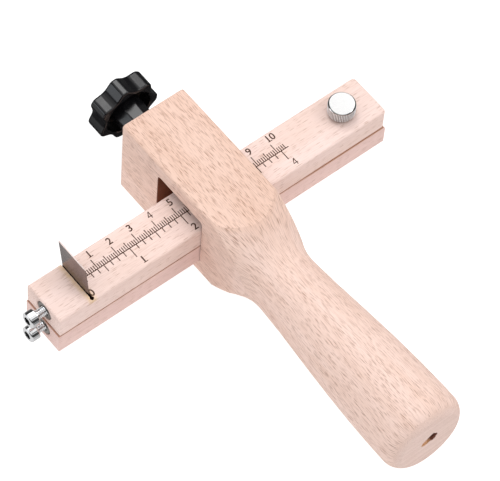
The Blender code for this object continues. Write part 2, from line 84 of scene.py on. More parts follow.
ARM_HALF = 10.5
ARM_START = corner("upper_arm", 0, "X")
ARM_END = corner("upper_arm", 1, "X")
UPPER_BOTTOM = corner("upper_arm", 0, "Z")
ARM_TOP = corner("upper_arm", 1, "Z")
LOWER_START = corner("lower_arm", 0, "X")
LOWER_END = corner("lower_arm", 1, "X")
LOWER_BOTTOM = corner("lower_arm", 0, "Z")
LOWER_TOP = corner("lower_arm", 1, "Z")
ARM_CORNER = 2.0
ARM_EDGE = 1.0
LOWER_ARM_NOSE = 2.2
PARTING_EDGE = 0.35

SCALE_ZERO = -68.1
SLOT = (SCALE_ZERO - 0.50, SCALE_ZERO + 0.50)  # the slot's walls in X
SLOT_FRONT = -9.2
SLOT_FLOOR = 10.25
SLOT_END_RADIUS = 0.85
SOCKET_WIDTH = 3.0                      # hexagon socket of a blade screw, across its flats
SOCKET_DEPTH = 2.0
SCREW_Z = {"upper": 24.975, "lower": 14.225}
SCREW_RADIUS = 2.0
SCREW_HEAD_RADIUS = 3.45
SCREW_HEAD_LENGTH = 4.0
SCREW_TEETH = 24
SCREW_TOOTH_DEPTH = 0.06
ARM_INSERT = 4.0                        # radius of the three inserts in the arms
BLADE_INSERT_SEAT = 10.5                # how deep each insert is seated
THUMB_INSERT_SEAT = 8.5
CLAMP_INSERT_SEAT = 15.5
CLAMP_INSERT = 6.0                      # radius of the insert in the head
THUMB_X = 64.5
THUMB_RADIUS = 5.85
THUMB_SHANK = 2.5
THUMB_BORE_END = 10.35                  # Z of the bottom of the hole for the thumb screw's shank
THUMB_TEETH = 52
THUMB_TOOTH_DEPTH = 0.30
STUD_RADIUS = 4.0
STUD_BORE = 4.5
BLADE_PITCH = 0.7                       # thread pitches
THUMB_PITCH = 0.8
CLAMP_PITCH = 1.25
THREAD_DEPTH = 0.5                      # as a share of the pitch
RINGS_PER_TURN = 8
GAP = 0.3
INSERT_PLAY = 0.15                      # how much wider an insert's bore is than its screw
OVERCUT = 1.0                           # how far a cutting shape runs past the face that it opens
CHAMFER = 0.3                           # broken edge at the mouth of a bored hole
CLAMP_CHAMFER = 0.35

SCALE_LINE = (0.55, 105.4)              # ends of the scale's base line from its zero
CENTIMETRE_MARKS = (4.87, 3.4, 2.3)     # length of a numbered, a half and any other mark
INCH_MARKS = (4.81, 3.4, 2.3)
INCH = 25.4
LINE_WIDTH = 0.40
ENGRAVED = ARM_TOP - 0.15               # Z of the bottom of the engraving
ENGRAVER_TOP = ARM_TOP + 0.5            # Z of the top of the shapes that cut it
NUMERAL_HEIGHT = 3.3
NUMERAL_SHARE = 0.73                    # a numeral's height as a share of the font's size
NUMERAL_WEIGHT = 0.075                  # how much the font's strokes are thickened on each side

KNOB_INNER = 55.4                       # Y of the face towards the head
KNOB_POCKET = 10.9                      # radius of the hollow in that face
KNOB_WEB = 2.9                          # thickness left behind the hollow
KNOB_TIP, KNOB_VALLEY = 14.9, 12.6      # radii of the corners of the flat tips and valleys
KNOB_TIP_ANGLE = math.radians(5.2)
KNOB_VALLEY_ANGLE = math.radians(5.3)
KNOB_CORNER = 0.85
KNOB_EDGE = 1.0
KNOB_LOBES = 7
KNOB_TURN = math.radians(45.5)
HUB_SIDES = 8
HUB_TURN = math.radians(15.5)

SMOOTH_ANGLE = 35.0                     # edges sharper than this many degrees stay sharp
METAL_ANGLE = 28.0
HANDLE_ANGLE = 20.0                     # keeps the crease where the flats meet the turned shoulder

# Cell sizes of the wood's patterns, across and along the grain
CLOUDS = (9.0, 60.0)
FIBRES = (0.36, 6.5)
FINE_FLECKS = (0.40, 4.4)
LONG_FLECKS = (0.48, 7.5)
UNROLLED_RADIUS = 21.0                  # the radius at which the turned grain has its true width


# ---------------------------------------- mesh helpers

def link(item):
    bpy.context.scene.collection.objects.link(item)
    return item


def smooth_mesh(mesh, angle):
    mesh.shade_smooth()
    mesh.set_sharp_from_angle(angle=math.radians(angle))


def piece(name, bm, mats, angle=SMOOTH_ANGLE):
    """A bmesh in millimetres becomes an object in metres."""
    bmesh.ops.recalc_face_normals(bm, faces=bm.faces)
    bmesh.ops.scale(bm, vec=(MM, MM, MM), verts=bm.verts)
    mesh = bpy.data.meshes.new(name)
    bm.to_mesh(mesh)
    bm.free()
    for mat in mats:
        mesh.materials.append(mat)
    smooth_mesh(mesh, angle)
    return link(bpy.data.objects.new(name, mesh))


def bake_modifiers(item):
    """Apply an object's modifiers to its mesh."""
    graph = bpy.context.evaluated_depsgraph_get()
    mesh = bpy.data.meshes.new_from_object(item.evaluated_get(graph))
    item.modifiers.clear()
    item.data = mesh


def cut(item, bm, operation="DIFFERENCE", mat=None):
    """Cut a closed bmesh out of an object, join it on or keep what they share. Cut faces take mat."""
    other = piece("tool", bm, (mat,))
    step = item.modifiers.new("cut", "BOOLEAN")
    step.operation = operation
    step.solver = "EXACT"
    step.material_mode = "TRANSFER" if mat else "INDEX"
    step.object = other
    bake_modifiers(item)
    bpy.data.objects.remove(other, do_unlink=True)


def even_normals(item, angle=SMOOTH_ANGLE):
    """Keep large flat faces flat beside small rounded edges."""
    smooth_mesh(item.data, angle)
    step = item.modifiers.new("even_normals", "WEIGHTED_NORMAL")
    step.keep_sharp = True
    step.weight = 60


def loft(rings, closed=False):
    """Skin equal rings; the first and last are capped unless closed joins them."""
    bm = bmesh.new()
    rows = [[bm.verts.new(point) for point in ring] for ring in rings]
    pairs = list(zip(rows, rows[1:]))
    if closed:
        pairs.append((rows[-1], rows[0]))
    for row, following in pairs:
        for i in range(len(row)):
            j = (i + 1) % len(row)
            bm.faces.new((row[i], row[j], following[j], following[i]))
    if not closed:
        bm.faces.new(rows[0])
        bm.faces.new(rows[-1])
    return bm


def around(axis, centre, radius, along, angle):
    """A point of a circle about an axis through centre, at a distance along that axis."""
    first = radius * math.cos(angle)
    second = radius * math.sin(angle)
    x, y, z = centre
    if axis == "X":
        return (x + along, y + first, z + second)
    if axis == "Y":
        return (x + first, y + along, z + second)
    return (x + first, y + second, z + along)


def full_turn(sides):
    """The angles of that many points spread evenly round a circle."""
    return [2 * math.pi * i / sides for i in range(sides)]


def turned(axis, centre, profile, sides=64, hollow=False):
    """A solid of revolution from (radius, distance) points."""
    rings = [[around(axis, centre, radius, along, a) for a in full_turn(sides)] for radius, along in profile]
    return loft(rings, closed=hollow)


def toothed_rings(axis, centre, profile, sides, teeth, depth):
    """Rings of (radius, distance, share) points, with a share of the teeth's depth cut into each."""
    rings = []
    for radius, along, share in profile:
        ring = []
        for angle in full_turn(sides):
            drop = share * depth * (0.5 - 0.5 * math.cos(teeth * angle))
            ring.append(around(axis, centre, radius - drop, along, angle))
        rings.append(ring)
    return rings


def thread_rings(axis, centre, radius, start, end, pitch, sides):
    """Rings of a helical V thread that fades out at both ends."""
    steps = max(int(abs(end - start) / pitch * RINGS_PER_TURN), 4)
    rings = []
    for k in range(steps + 1):
        along = start + (end - start) * k / steps
        fade = min(1.0, 2.0 * min(k, steps - k) / RINGS_PER_TURN)
        ring = []
        for i, angle in enumerate(full_turn(sides)):
            phase = (along / pitch - i / sides) % 1.0
            drop = THREAD_DEPTH * pitch * abs(2.0 * phase - 1.0) * fade
            ring.append(around(axis, centre, radius - drop, along, angle))
        rings.append(ring)
    return rings


def box(low, high):
    """A closed box from its low to its high corner."""
    bm = bmesh.new()
    bmesh.ops.create_cube(bm, size=1.0)
    low = Vector(low)
    size = Vector(high) - low
    for vert in bm.verts:
        vert.co = Vector((low[k] + size[k] * (vert.co[k] + 0.5) for k in range(3)))
    return bm


def round_edges(bm, test, width, segments):
    """Round the edges whose two ends pass the test."""
    chosen = [edge for edge in bm.edges if test(edge.verts[0].co, edge.verts[1].co)]
    bmesh.ops.bevel(bm, geom=chosen, offset=width, segments=segments, profile=0.5,
                    affect="EDGES", clamp_overlap=True)


def arc(centre, radius, start, end, steps):
    """(radius, distance) points of an arc in a turned piece's profile, angles in degrees."""
    points = []
    for k in range(steps + 1):
        angle = math.radians(start + (end - start) * k / steps)
        points.append((centre[0] + radius * math.cos(angle), centre[1] + radius * math.sin(angle)))
    return points


# ---------------------------------------- material helper

class Look:
    """A material and the few node patterns that the looks below are made from."""

    def __init__(self, name, roughness=0.5, metallic=0.0):
        self.mat = bpy.data.materials.new(name)
        self.mat.use_nodes = True
        self.tree = self.mat.node_tree
        self.shader = self.tree.nodes["Principled BSDF"]
        self.shader.inputs["Metallic"].default_value = metallic
        self.shader.inputs["Roughness"].default_value = roughness
        self.place = self.node("ShaderNodeTexCoord").outputs["Object"]
        self.flow = self.place

    def node(self, kind, **settings):
        made = self.tree.nodes.new(kind)
        for key, value in settings.items():
            setattr(made, key, value)
        return made

    def feed(self, socket, value):
        if isinstance(value, bpy.types.NodeSocket):
            self.tree.links.new(value, socket)
        elif isinstance(value, tuple) and len(value) == 3 and socket.type == "RGBA":
            socket.default_value = (*value, 1.0)
        else:
            socket.default_value = value

    def math(self, operation, a, b=0.0, c=0.0):
        made = self.node("ShaderNodeMath", operation=operation)
        for socket, value in zip(made.inputs, (a, b, c)):
            self.feed(socket, value)
        return made.outputs[0]

    def times(self, first, *others):
        for value in others:
            first = self.math("MULTIPLY", first, value)
        return first

    def blend(self, factor, a, b):
        """A number between a and b."""
        return self.math("MULTIPLY_ADD", factor, self.math("SUBTRACT", b, a), a)

    def mix(self, factor, a, b, kind="MIX"):
        made = self.node("ShaderNodeMix", data_type="RGBA", blend_type=kind)
        self.feed(made.inputs[0], factor)
        self.feed(made.inputs[6], a)
        self.feed(made.inputs[7], b)
        return made.outputs[2]

    def span(self, value, low, high, out_low=0.0, out_high=1.0):
        """Smoothly rescale a value from low..high to out_low..out_high."""
        made = self.node("ShaderNodeMapRange", interpolation_type="SMOOTHSTEP")
        for socket, number in zip(made.inputs, (value, low, high, out_low, out_high)):
            self.feed(socket, number)
        return made.outputs[0]

    def stretch(self, size, shift=(0.0, 0.0, 0.0)):
        """Coordinates in which one unit is the given size in millimetres along X, Y and Z."""
        made = self.node("ShaderNodeMapping")
        made.inputs["Scale"].default_value = tuple(1.0 / (s * MM) for s in size)
        made.inputs["Location"].default_value = shift
        self.feed(made.inputs["Vector"], self.flow)
        return made.outputs[0]

    def on_face(self, value, level):
        """1 on the two planes where a coordinate from the axis is level or minus level, 0 between them."""
        return self.span(self.math("ABSOLUTE", value), (level - 0.3) * MM, (level - 0.1) * MM)

    def follow_turning(self):
        """Let patterns run along Y over every face but the two ends, which keep plain coordinates."""
        x = self.axis("X")
        z = self.math("SUBTRACT", self.axis("Z"), AXIS_Z * MM)
        back = self.span(self.axis("Y"), (HEAD_BACK - 0.8) * MM, (HEAD_BACK - 0.5) * MM)
        front = self.span(self.axis("Y"), (HANDLE_END + 2.2) * MM, (HANDLE_END + 1.0) * MM)
        end = self.math("MAXIMUM", back, front)
        flat = self.math("MAXIMUM", self.on_face(z, HEAD_HEIGHT / 2), end)
        side = self.times(self.on_face(x, HEAD_WIDTH / 2), self.math("SUBTRACT", 1.0, end))
        around_axis = self.times(self.math("ARCTAN2", x, z), UNROLLED_RADIUS * MM)
        across = self.blend(flat, around_axis, x)
        apart = 50.0 * MM                   # the two sides of the head show different places of the pattern
        across = self.blend(side, across, self.math("MULTIPLY_ADD", self.math("SIGN", x), apart, z))
        made = self.node("ShaderNodeCombineXYZ")
        for socket, value in zip(made.inputs, (across, self.axis("Y"), self.times(z, end))):
            self.feed(socket, value)
        self.flow = made.outputs[0]

    def noise(self, size, detail=2.0, rough=0.5, shift=(0.0, 0.0, 0.0)):
        made = self.node("ShaderNodeTexNoise")
        made.inputs["Scale"].default_value = 1.0
        made.inputs["Detail"].default_value = detail
        made.inputs["Roughness"].default_value = rough
        self.feed(made.inputs["Vector"], self.stretch(size, shift))
        return made.outputs["Fac"]

    def spots(self, size, reach, share, shift=(0.0, 0.0, 0.0)):
        """Long grains of the given cell size; reach is their half width and share how many show."""
        made = self.node("ShaderNodeTexVoronoi", feature="F1")
        made.inputs["Scale"].default_value = 1.0
        self.feed(made.inputs["Vector"], self.stretch(size, shift))
        split = self.node("ShaderNodeSeparateColor")
        self.feed(split.inputs[0], made.outputs["Color"])
        body = self.span(made.outputs["Distance"], reach, reach * 0.35)
        shown = self.span(split.outputs[0], 1.0 - share, 1.0 - share + 0.35)
        return self.times(body, shown)

    def axis(self, name):
        split = self.node("ShaderNodeSeparateXYZ")
        self.feed(split.inputs[0], self.place)
        return split.outputs[name]

    def near(self, name, value, reach):
        """1 on the plane where a coordinate in millimetres has the value, 0 beyond reach."""
        off = self.math("ABSOLUTE", self.math("SUBTRACT", self.axis(name), value * MM))
        return self.span(off, reach * MM, 0.0)

    def inside(self, name, low, high, soft):
        """1 between two coordinates in millimetres, fading out over soft beyond each."""
        rise = self.span(self.axis(name), (low - soft) * MM, low * MM)
        fall = self.span(self.axis(name), (high + soft) * MM, high * MM)
        return self.times(rise, fall)

    def color(self, value):
        self.feed(self.shader.inputs["Base Color"], value)

    def rough(self, value):
        self.feed(self.shader.inputs["Roughness"], value)

    def bump(self, height, distance, strength=1.0):
        made = self.node("ShaderNodeBump")
        made.inputs["Distance"].default_value = distance * MM
        made.inputs["Strength"].default_value = strength
        self.feed(made.inputs["Height"], height)
        self.feed(self.shader.inputs["Normal"], made.outputs[0])


def along_grain(grain, size):
    """A cell size in X, Y and Z, from its size across and along a grain that runs along X or Y."""
    across, length = size
    return (length, across, across) if grain == "X" else (across, length, across)


def wood(name, grain, pale, deep, fleck, density, shift):
    """Sanded beech: slow colour change, fine fibre streaks and short dark ray flecks."""
    look = Look(name)
    if grain == "Y":
        look.follow_turning()
    clouds = look.noise(along_grain(grain, CLOUDS), 3.0, 0.5, shift)
    tone = look.mix(look.span(clouds, 0.3, 0.7), pale, deep)
    fibres = look.noise(along_grain(grain, FIBRES), 2.0, 0.55, shift)
    streak = look.span(fibres, 0.50, 0.66, 0.0, 0.55 * density)
    tone = look.mix(streak, tone, look.mix(0.6, deep, fleck))
    fine = look.spots(along_grain(grain, FINE_FLECKS), 0.40, density, shift)
    long = look.spots(along_grain(grain, LONG_FLECKS), 0.34, 0.60 * density, (3.3, 7.1, 5.7))
    flecks = look.math("MAXIMUM", look.times(fine, 0.60), look.times(long, 0.68))
    tone = look.mix(flecks, tone, fleck)
    look.rough(look.span(fibres, 0.2, 0.8, 0.58, 0.74))
    look.shader.inputs["Specular IOR Level"].default_value = 0.3
    height = look.math("SUBTRACT", look.times(fibres, 0.5), flecks)
    look.bump(height, 0.06, 0.45)
    return look, tone


def handle_wood():
    """Beech with a painted pinker hue on the turned part and the sides, standing in for the warm light on the
    flat top, painted shade in the mortise, and paler at the end.
    """
    look, tone = wood("handle_beech", "Y", (0.845, 0.605, 0.505), (0.79, 0.545, 0.44),
                      (0.24, 0.08, 0.028), 0.90, (0.0, 0.0, 0.0))
    # Painted light: all faces but the flat top are made pinker, standing in for the warmer light that falls
    # on the top.
    turned_part = look.span(look.axis("Y"), -24.0 * MM, -34.0 * MM)
    below = look.span(look.axis("Z"), (HEAD_HEIGHT - 0.5) * MM, (HEAD_HEIGHT - 1.6) * MM)
    painted_side_hue = look.math("MAXIMUM", turned_part, look.times(below, 0.6))
    tone = look.mix(painted_side_hue, tone, look.mix(1.0, tone, (1.065, 1.12, 1.18), "MULTIPLY"))
    # Painted shade: the inside of the mortise is darkened to a deep brown.
    (low_y, low_z), (high_y, high_z) = MORTISE
    reach = HEAD_WIDTH / 2 - 0.5
    painted_mortise_shade = look.times(look.inside("X", -reach, reach, 0.5),
                        look.inside("Y", low_y - 0.2, high_y + 0.2, 0.15),
                        look.inside("Z", low_z - 0.2, high_z + 0.2, 0.15))
    tone = look.mix(look.times(painted_mortise_shade, 0.93), tone, (0.19, 0.045, 0.008))
    end = look.span(look.axis("Y"), (HANDLE_END + 2.4) * MM, (HANDLE_END + 0.2) * MM)
    rings = look.noise((60.0, 60.0, 1.6), 2.0, 0.5, (0.0, 0.0, 3.7))
    worn = look.mix(look.span(rings, 0.3, 0.7), (0.88, 0.68, 0.615), (0.79, 0.58, 0.515))
    tone = look.mix(look.times(end, 0.7), tone, worn)
    look.color(tone)
    return look.mat


def torn_wood():
    """Rough brown fibres inside the drilled hole, paler on the torn side."""
    look = Look("torn_fibres", 0.85)
    fibres = look.noise((0.25, 1.5, 0.25), 4.0, 0.7)
    deep = look.mix(look.span(fibres, 0.3, 0.7), (0.06, 0.015, 0.010), (0.26, 0.09, 0.05))
    pale = look.mix(look.span(fibres, 0.35, 0.6), (0.48, 0.20, 0.07), (0.80, 0.50, 0.30))
    look.color(look.mix(look.span(look.axis("X"), 1.2 * MM, -1.2 * MM), deep, pale))
    look.bump(fibres, 0.2)
    return look.mat


def arm_wood(name, pale, deep, shift, scorched):
    """Paler beech, with painted shade along the parting line between the arms and scorched round the slot if
    asked.
    """
    look, tone = wood(name, "X", pale, deep, (0.38, 0.19, 0.11), 0.50, shift)
    if scorched:
        ragged = look.noise((1.3, 1.3, 1.3), 3.0, 0.6)
        burn = look.times(look.inside("X", SLOT[0] - 0.4, SLOT[1] + 0.1, 2.2),
                          look.span(look.axis("Z"), (ARM_TOP - 2.0) * MM, (ARM_TOP - 0.6) * MM),
                          look.span(ragged, 0.25, 0.75, 0.3, 0.85))
        tone = look.mix(burn, tone, (0.74, 0.50, 0.25))
    # Painted shade: the wood is darkened along the gap between the arms, and more widely towards their +X
    # end.
    joint = (UPPER_BOTTOM + LOWER_TOP) / 2
    wide = look.times(look.near("Z", joint, 1.5), look.inside("X", 50.0, 90.0, 35.0), 0.9)
    painted_seam_shade = look.math("MAXIMUM", look.times(look.near("Z", joint, 0.7), 0.7), wide)
    tone = look.mix(painted_seam_shade, tone, (0.42, 0.17, 0.07))
    look.color(tone)
    return look.mat


def burnt_line():
    """Laser engraving: brown scorched wood."""
    look = Look("engraving", 0.8)
    patches = look.noise((0.5, 0.5, 0.5), 3.0)
    look.color(look.mix(look.span(patches, 0.3, 0.7), (0.05, 0.016, 0.006), (0.10, 0.036, 0.016)))
    look.bump(patches, 0.03)
    return look.mat


def brushed(name, dark, light, size, low, high):
    """Metal with fine lines of the given size in X, Y and Z; low and high limit its roughness."""
    look = Look(name, metallic=1.0)
    lines = look.noise(size, 4.0, 0.6)
    clouds = look.noise((6.0, 6.0, 6.0), 2.0)
    look.color(look.mix(look.span(clouds, 0.3, 0.7), dark, light))
    look.rough(look.span(lines, 0.25, 0.75, low, high))
    look.bump(lines, 0.01, 0.35)
    return look.mat


def plated(name, color, low, high):
    """Bright plating with faint marks; low and high limit its roughness."""
    look = Look(name, metallic=1.0)
    marks = look.noise((0.8, 0.8, 0.8), 5.0, 0.65)
    look.color(look.mix(look.span(marks, 0.35, 0.75), color, tuple(0.95 * c for c in color)))
    look.rough(look.span(marks, 0.3, 0.8, low, high))
    return look.mat


def moulded():
    """Black nylon with a fine moulded texture."""
    look = Look("moulded_nylon")
    grain = look.noise((0.35, 0.35, 0.35), 3.0, 0.6)
    wear = look.noise((5.0, 5.0, 5.0), 3.0)
    look.color(look.mix(look.span(wear, 0.35, 0.75), (0.004, 0.004, 0.005), (0.008, 0.008, 0.009)))
    look.rough(look.span(wear, 0.3, 0.7, 0.14, 0.22))
    look.bump(grain, 0.01, 0.12)
    return look.mat


# ---------------------------------------- handle

def rounded_section(half_width, half_height, y):
    """A rectangle across the handle's axis with the head's rounded edges."""
    per_corner = 17
    ring = []
    for side_x, side_z, start in ((1, 1, 0), (-1, 1, 90), (-1, -1, 180), (1, -1, 270)):
        for k in range(per_corner):
            angle = math.radians(start + 90.0 * k / (per_corner - 1))
            x = side_x * (half_width - HEAD_EDGE) + HEAD_EDGE * math.cos(angle)
            z = side_z * (half_height - HEAD_EDGE) + HEAD_EDGE * math.sin(angle)
            ring.append((x, y, AXIS_Z + z))
    return ring


def shoulder_radius(y):
    """Radius of the turned shoulder and neck, a smooth curve through its profile points."""
    points = SHOULDER_PROFILE
    last = len(points) - 1
    slopes = []
    for k in range(len(points)):
        before, after = points[max(k - 1, 0)], points[min(k + 1, last)]
        slopes.append((after[1] - before[1]) / (after[0] - before[0]))
    k = next((i for i in range(last) if points[i + 1][0] <= y), last - 1)
    (start, first), (end, second) = points[k], points[k + 1]
    span = end - start
    t = (y - start) / span
    near = (1 + 2 * t) * (1 - t) ** 2 * first + t * (1 - t) ** 2 * span * slopes[k]
    far = t * t * (3 - 2 * t) * second - t * t * (1 - t) * span * slopes[k + 1]
    return near + far


def grip_radius(y):
    """Radius of the grip, which swells from the neck towards the end."""
    t = (NECK - y) / (NECK - SWELL)
    return NECK_RADIUS + (SWELL_RADIUS - NECK_RADIUS) * math.sin(0.5 * math.pi * t ** 1.12)


def turned_body():
    """The whole handle as turned on a lathe, wider than the head where the head is left square."""
    widest = SHOULDER_PROFILE[0][1]
    profile = [(widest, HEAD_BACK + OVERCUT), (widest, SHOULDER_START)]
    steps = 46
    for k in range(1, steps):
        y = SHOULDER_START + (GRIP_START - SHOULDER_START) * k / steps
        profile.append((shoulder_radius(y), y))
    steps = 24
    for k in range(steps + 1):
        y = GRIP_START + (SWELL - GRIP_START) * k / steps
        profile.append((grip_radius(y), y))
    steps = 12
    for k in range(steps + 1):
        angle = END_ARC * k / steps
        y = HANDLE_END + END_ROUNDING * (math.sin(END_ARC) - math.sin(angle))
        profile.append((SWELL_RADIUS - END_ROUNDING * (1 - math.cos(angle)), y))
    return turned("Y", (0, 0, AXIS_Z), profile, 112)


def head_prism():
    """The square head's faces; past the neck it widens so that it leaves the grip alone."""
    rings = []
    for k in range(7):
        angle = 0.5 * math.pi * k / 6
        inset = HEAD_END_EDGE * (1 - math.sin(angle))
        back = HEAD_END_EDGE * (1 - math.cos(angle))
        rings.append(rounded_section(HEAD_WIDTH / 2 - inset, HEAD_HEIGHT / 2 - inset, HEAD_BACK - back))
    rings.append(rounded_section(HEAD_WIDTH / 2, HEAD_HEIGHT / 2, NECK))
    rings.append(rounded_section(HEAD_WIDTH, HEAD_WIDTH, NECK - 0.5))
    rings.append(rounded_section(HEAD_WIDTH, HEAD_WIDTH, HANDLE_END - 2))
    return loft(rings)


def on_mortise_rim(a, b):
    """True for an edge where the mortise meets a side of the head."""
    (low_y, low_z), (high_y, high_z) = MORTISE
    near, clear = 0.02, 0.6
    for point in (a, b):
        if abs(abs(point.x) - HEAD_WIDTH / 2) > near:
            return False
        if not (low_y - near < point.y < high_y + near and low_z - near < point.z < high_z + near):
            return False
    middle = (a + b) / 2
    return not (low_y + clear < middle.y < high_y - clear and low_z + clear < middle.z < high_z - clear)


def drill_spindle_hole(handle, torn):
    """The small torn hole in the end, and the sliver pulled out beside it."""
    radius, depth, beside, rise = SPINDLE_HOLE
    rings = []
    for offset, along in ((0.6, -1.0), (0.55, 0.02), (0.1, 0.6), (0.0, depth - 1.2), (0.3 - radius, depth)):
        ring = []
        for angle in full_turn(40):
            rag = 0.20 * math.sin(5 * angle + 0.7) + 0.14 * math.sin(9 * angle + 2.0)
            wide = radius + offset + rag * min(1.0, max(0.0, 1.0 - along / 4.0))
            ring.append(around("Y", (beside, 0, AXIS_Z + rise), max(wide, 0.3), HANDLE_END + along, angle))
        rings.append(ring)
    cut(handle, loft(rings), mat=torn)

    half_width, half_height = TEAR_SIZE
    rings = []
    for share, along in ((1.0, -0.6), (0.98, 0.0), (0.86, 0.7), (0.6, 1.4), (0.1, 1.9)):
        ring = []
        for angle in full_turn(36):
            x = beside + TEAR[0] + half_width * share * math.cos(angle) + 0.20 * share * math.sin(7 * angle)
            z = TEAR[1] + half_height * share * math.sin(angle) + 0.55 * share * math.cos(angle)
            ring.append((x, HANDLE_END + along, AXIS_Z + rise + z))
        rings.append(ring)
    cut(handle, loft(rings), mat=torn)


def make_handle(mat, torn):
    """The handle and the square head, with the mortise, the stud's bore and the hole in the end."""
    handle = piece("wood_handle", turned_body(), [mat])
    cut(handle, head_prism(), "INTERSECT", mat)
    (low_y, low_z), (high_y, high_z) = MORTISE
    reach = HEAD_WIDTH / 2 + OVERCUT
    mortise = box((-reach, low_y, low_z), (reach, high_y, high_z))
    round_edges(mortise, lambda a, b: abs(a.x - b.x) > 1 and a.z > AXIS_Z, MORTISE_CORNER, 6)
    cut(handle, mortise)

    seat = CLAMP_INSERT + GAP
    floor = HEAD_BACK - CLAMP_INSERT_SEAT
    profile = [(STUD_BORE, high_y - OVERCUT), (STUD_BORE, floor), (seat, floor),
               (seat, HEAD_BACK - CLAMP_CHAMFER), (seat + CLAMP_CHAMFER, HEAD_BACK),
               (seat + CLAMP_CHAMFER, HEAD_BACK + OVERCUT)]
    cut(handle, turned("Y", (0, 0, AXIS_Z), profile))

    drill_spindle_hole(handle, torn)
    bm = bmesh.new()
    bm.from_mesh(handle.data)
    bmesh.ops.scale(bm, vec=(1 / MM, 1 / MM, 1 / MM), verts=bm.verts)
    round_edges(bm, on_mortise_rim, MORTISE_RIM, 5)
    bmesh.ops.scale(bm, vec=(MM, MM, MM), verts=bm.verts)
    bm.to_mesh(handle.data)
    bm.free()
    even_normals(handle, HANDLE_ANGLE)
    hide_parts("handle_body")
    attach(handle, "head")


# ---------------------------------------- arms

def bar(start, end, bottom, top, top_edge, nose):
    """A square bar with rounded far corners, eased top edges and broken lower edges."""
    middle = (bottom + top) / 2
    bm = box((start, -ARM_HALF, bottom), (end, ARM_HALF, top))
    if nose:
        round_edges(bm, lambda a, b: a.x > 0 and b.x > 0 and min(a.z, b.z) > middle, nose, 8)
    round_edges(bm, lambda a, b: a.x > 0 and b.x > 0 and abs(a.z - b.z) > 1, ARM_CORNER, 8)
    tolerance = 0.01
    round_edges(bm, lambda a, b: min(a.z, b.z) > top - tolerance and not (nose and min(a.x, b.x) > 0),
                top_edge, 5)
    round_edges(bm, lambda a, b: max(a.z, b.z) < bottom + tolerance, PARTING_EDGE, 2)
    return bm


def open_slot(arm, bottom, top, burnt):
    """The blade's slot, open at the back edge, and the drilled hole where it stops."""
    slot = box((SLOT[0], SLOT_FRONT, bottom), (SLOT[1], ARM_HALF + OVERCUT, top))
    cut(arm, slot, mat=burnt)
    centre = ((SLOT[0] + SLOT[1]) / 2, SLOT_FRONT, 0)
    profile = [(SLOT_END_RADIUS, bottom - 0.05), (SLOT_END_RADIUS, top + 0.05)]
    cut(arm, turned("Z", centre, profile, 32), mat=burnt)


def open_screw_hole(arm, start, middle_z):
    """The hole in an arm's blade end for a screw and its insert."""
    floor = start + BLADE_INSERT_SEAT
    seat = ARM_INSERT + GAP
    bore = SCREW_RADIUS + GAP
    profile = [(seat + CHAMFER, start - OVERCUT), (seat + CHAMFER, start), (seat, start + CHAMFER),
               (seat, floor), (bore, floor), (bore, SCALE_ZERO)]
    cut(arm, turned("X", (0, 0, middle_z), profile, 48))


def mark_length(k, whole, lengths):
    """Length of mark number k, where each whole-th mark has a numeral."""
    numbered, half, other = lengths
    if k % whole == 0:
        return numbered
    return half if k % (whole // 2) == 0 else other


def comb():
    """The scale's base line with all its marks as one closed outline of (x, y) points."""
    half = LINE_WIDTH / 2
    start, end = (SCALE_ZERO + along for along in SCALE_LINE)
    outline = [(start, half)]
    for k in range(1, 105):
        x, y = SCALE_ZERO + k, mark_length(k, 10, CENTIMETRE_MARKS)
        outline += [(x - half, half), (x - half, y), (x + half, y), (x + half, half)]
    outline += [(end, half), (end, -half)]
    for k in range(32, 0, -1):
        x, y = SCALE_ZERO + k * INCH / 8, -mark_length(k, 8, INCH_MARKS)
        outline += [(x + half, -half), (x + half, y), (x - half, y), (x - half, -half)]
    outline.append((start, -half))
    return outline


def numeral(text, x, y):
    """A closed bmesh of a number, upright when seen from the handle."""
    curve = bpy.data.curves.new("numeral", "FONT")
    curve.body = text
    curve.size = NUMERAL_HEIGHT / NUMERAL_SHARE
    curve.align_x = "CENTER"
    curve.align_y = "CENTER"
    curve.extrude = 0.5
    curve.offset = NUMERAL_WEIGHT
    curve.resolution_u = 4
    letters = link(bpy.data.objects.new("numeral", curve))
    graph = bpy.context.evaluated_depsgraph_get()
    mesh = letters.evaluated_get(graph).to_mesh()
    bm = bmesh.new()
    bm.from_mesh(mesh)
    bpy.data.objects.remove(letters, do_unlink=True)
    bmesh.ops.remove_doubles(bm, verts=bm.verts, dist=1e-4)
    low = min(vert.co.z for vert in bm.verts)
    spread = [[pick(vert.co[k] for vert in bm.verts) for pick in (min, max)] for k in (0, 1)]
    middle_x, middle_y = (sum(pair) / 2 for pair in spread)
    for vert in bm.verts:
        vert.co = Vector((x + vert.co.x - middle_x, y + vert.co.y - middle_y,
                          ENGRAVED if vert.co.z < low + 0.01 else ENGRAVER_TOP))
    return bm


def four(x, y):
    """The numeral 4 as one closed stroke outline with an open triangle."""
    outline = ((0.62, -1.65), (0.62, -0.82), (1.08, -0.82), (1.08, -0.46), (0.62, -0.46), (0.62, 1.65),
               (0.22, 1.65), (-1.08, -0.50), (-1.08, -0.82), (0.24, -0.82), (0.24, -1.65))
    opening = ((0.24, 0.98), (0.24, -0.46), (-0.64, -0.46))
    bm = bmesh.new()
    for z in (ENGRAVED, ENGRAVER_TOP):
        for ring in (outline, opening):
            verts = [bm.verts.new((x + px, y + py, z)) for px, py in ring]
            for i, vert in enumerate(verts):
                bm.edges.new((vert, verts[(i + 1) % len(verts)]))
        level = [edge for edge in bm.edges if all(abs(v.co.z - z) < 1e-6 for v in edge.verts)]
        bmesh.ops.triangle_fill(bm, use_beauty=True, use_dissolve=False, edges=level)
    verts = list(bm.verts)
    half = len(verts) // 2
    for ring in (range(len(outline)), range(len(outline), half)):
        ring = list(ring)
        for i, k in enumerate(ring):
            j = ring[(i + 1) % len(ring)]
            bm.faces.new((verts[k], verts[j], verts[j + half], verts[k + half]))
    return bm


